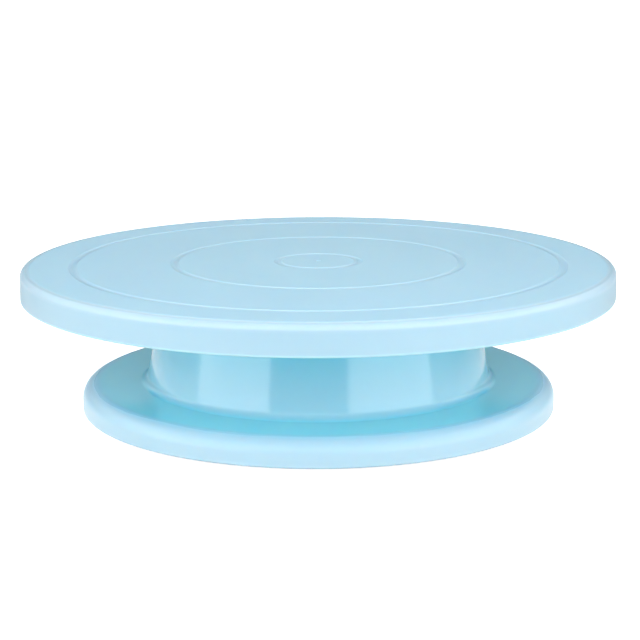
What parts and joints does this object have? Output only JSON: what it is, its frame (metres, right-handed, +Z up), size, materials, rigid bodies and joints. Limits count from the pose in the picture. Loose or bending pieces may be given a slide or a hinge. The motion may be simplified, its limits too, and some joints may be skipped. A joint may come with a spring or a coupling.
{
  "type": "cake turntable",
  "caption": "Round moulded plate with guide rings that spins on a caged ball bearing over a conical foot with a wide flange and rubber pads, for turning a cake while it is decorated.",
  "frame": {"origin": "on the table, under the spin axis", "axes": "+Z up along the spin axis, X and Y level"},
  "size_m": [0.2799, 0.28, 0.07],
  "materials": {
    "plate_plastic": "satin gloss moulded polypropylene, light blue",
    "base_plastic": "glossy moulded polypropylene, light blue",
    "race_steel": "pressed and ground steel",
    "ball_steel": "polished bearing steel",
    "screw_steel": "zinc plated steel",
    "brass": "turned brass",
    "nylon": "natural nylon",
    "rubber": "matt moulded rubber"
  },
  "bodies": {
    "base": {"base_shell": "base_plastic", "lower_race": "race_steel", "upper_bush": "nylon", "lower_bush": "nylon", "foot_pad_1": "rubber", "foot_pad_2": "rubber", "foot_pad_3": "rubber", "foot_pad_4": "rubber", "foot_pad_5": "rubber", "foot_pad_6": "rubber"},
    "turntable": {"top_plate": "plate_plastic", "upper_race": "race_steel", "threaded_insert": "brass", "pivot_screw": "screw_steel", "thrust_washer": "nylon", "spring_washer": "screw_steel"},
    "cage": {"ball_cage": "nylon"},
    "ball_1_body": {"ball_1": "ball_steel"},
    "ball_2_body": {"ball_2": "ball_steel"},
    "ball_3_body": {"ball_3": "ball_steel"},
    "ball_4_body": {"ball_4": "ball_steel"},
    "ball_5_body": {"ball_5": "ball_steel"},
    "ball_6_body": {"ball_6": "ball_steel"},
    "ball_7_body": {"ball_7": "ball_steel"},
    "ball_8_body": {"ball_8": "ball_steel"},
    "ball_9_body": {"ball_9": "ball_steel"},
    "ball_10_body": {"ball_10": "ball_steel"},
    "ball_11_body": {"ball_11": "ball_steel"},
    "ball_12_body": {"ball_12": "ball_steel"}
  },
  "joints": [
    {"name": "plate_spin", "type": "hinge", "parent": "base", "child": "turntable", "pos_m": [0, 0, 0.07], "axis": [0, 0, 1], "continuous": true},
    {"name": "cage_spin", "type": "hinge", "parent": "base", "child": "cage", "pos_m": [0, 0, 0.0635], "axis": [0, 0, 1], "continuous": true},
    {"name": "ball_1_roll", "type": "hinge", "parent": "cage", "child": "ball_1_body", "pos_m": [0.052, 0, 0.0635], "axis": [1, 0, 0], "continuous": true},
    {"name": "ball_2_roll", "type": "hinge", "parent": "cage", "child": "ball_2_body", "pos_m": [0.04503, 0.026, 0.0635], "axis": [0.866, 0.5, 0], "continuous": true},
    {"name": "ball_3_roll", "type": "hinge", "parent": "cage", "child": "ball_3_body", "pos_m": [0.026, 0.04503, 0.0635], "axis": [0.5, 0.866, 0], "continuous": true},
    {"name": "ball_4_roll", "type": "hinge", "parent": "cage", "child": "ball_4_body", "pos_m": [0, 0.052, 0.0635], "axis": [0, 1, 0], "continuous": true},
    {"name": "ball_5_roll", "type": "hinge", "parent": "cage", "child": "ball_5_body", "pos_m": [-0.026, 0.04503, 0.0635], "axis": [-0.5, 0.866, 0], "continuous": true},
    {"name": "ball_6_roll", "type": "hinge", "parent": "cage", "child": "ball_6_body", "pos_m": [-0.04503, 0.026, 0.0635], "axis": [-0.866, 0.5, 0], "continuous": true},
    {"name": "ball_7_roll", "type": "hinge", "parent": "cage", "child": "ball_7_body", "pos_m": [-0.052, 0, 0.0635], "axis": [-1, 0, 0], "continuous": true},
    {"name": "ball_8_roll", "type": "hinge", "parent": "cage", "child": "ball_8_body", "pos_m": [-0.04503, -0.026, 0.0635], "axis": [-0.866, -0.5, 0], "continuous": true},
    {"name": "ball_9_roll", "type": "hinge", "parent": "cage", "child": "ball_9_body", "pos_m": [-0.026, -0.04503, 0.0635], "axis": [-0.5, -0.866, 0], "continuous": true},
    {"name": "ball_10_roll", "type": "hinge", "parent": "cage", "child": "ball_10_body", "pos_m": [0, -0.052, 0.0635], "axis": [0, -1, 0], "continuous": true},
    {"name": "ball_11_roll", "type": "hinge", "parent": "cage", "child": "ball_11_body", "pos_m": [0.026, -0.04503, 0.0635], "axis": [0.5, -0.866, 0], "continuous": true},
    {"name": "ball_12_roll", "type": "hinge", "parent": "cage", "child": "ball_12_body", "pos_m": [0.04503, -0.026, 0.0635], "axis": [0.866, -0.5, 0], "continuous": true}
  ],
  "couplings": [
    {"joint": "cage_spin", "follows": "plate_spin", "ratio": 0.5},
    {"joint": "ball_1_roll", "follows": "plate_spin", "ratio": -8.6667},
    {"joint": "ball_2_roll", "follows": "plate_spin", "ratio": -8.6667},
    {"joint": "ball_3_roll", "follows": "plate_spin", "ratio": -8.6667},
    {"joint": "ball_4_roll", "follows": "plate_spin", "ratio": -8.6667},
    {"joint": "ball_5_roll", "follows": "plate_spin", "ratio": -8.6667},
    {"joint": "ball_6_roll", "follows": "plate_spin", "ratio": -8.6667},
    {"joint": "ball_7_roll", "follows": "plate_spin", "ratio": -8.6667},
    {"joint": "ball_8_roll", "follows": "plate_spin", "ratio": -8.6667},
    {"joint": "ball_9_roll", "follows": "plate_spin", "ratio": -8.6667},
    {"joint": "ball_10_roll", "follows": "plate_spin", "ratio": -8.6667},
    {"joint": "ball_11_roll", "follows": "plate_spin", "ratio": -8.6667},
    {"joint": "ball_12_roll", "follows": "plate_spin", "ratio": -8.6667}
  ]
}
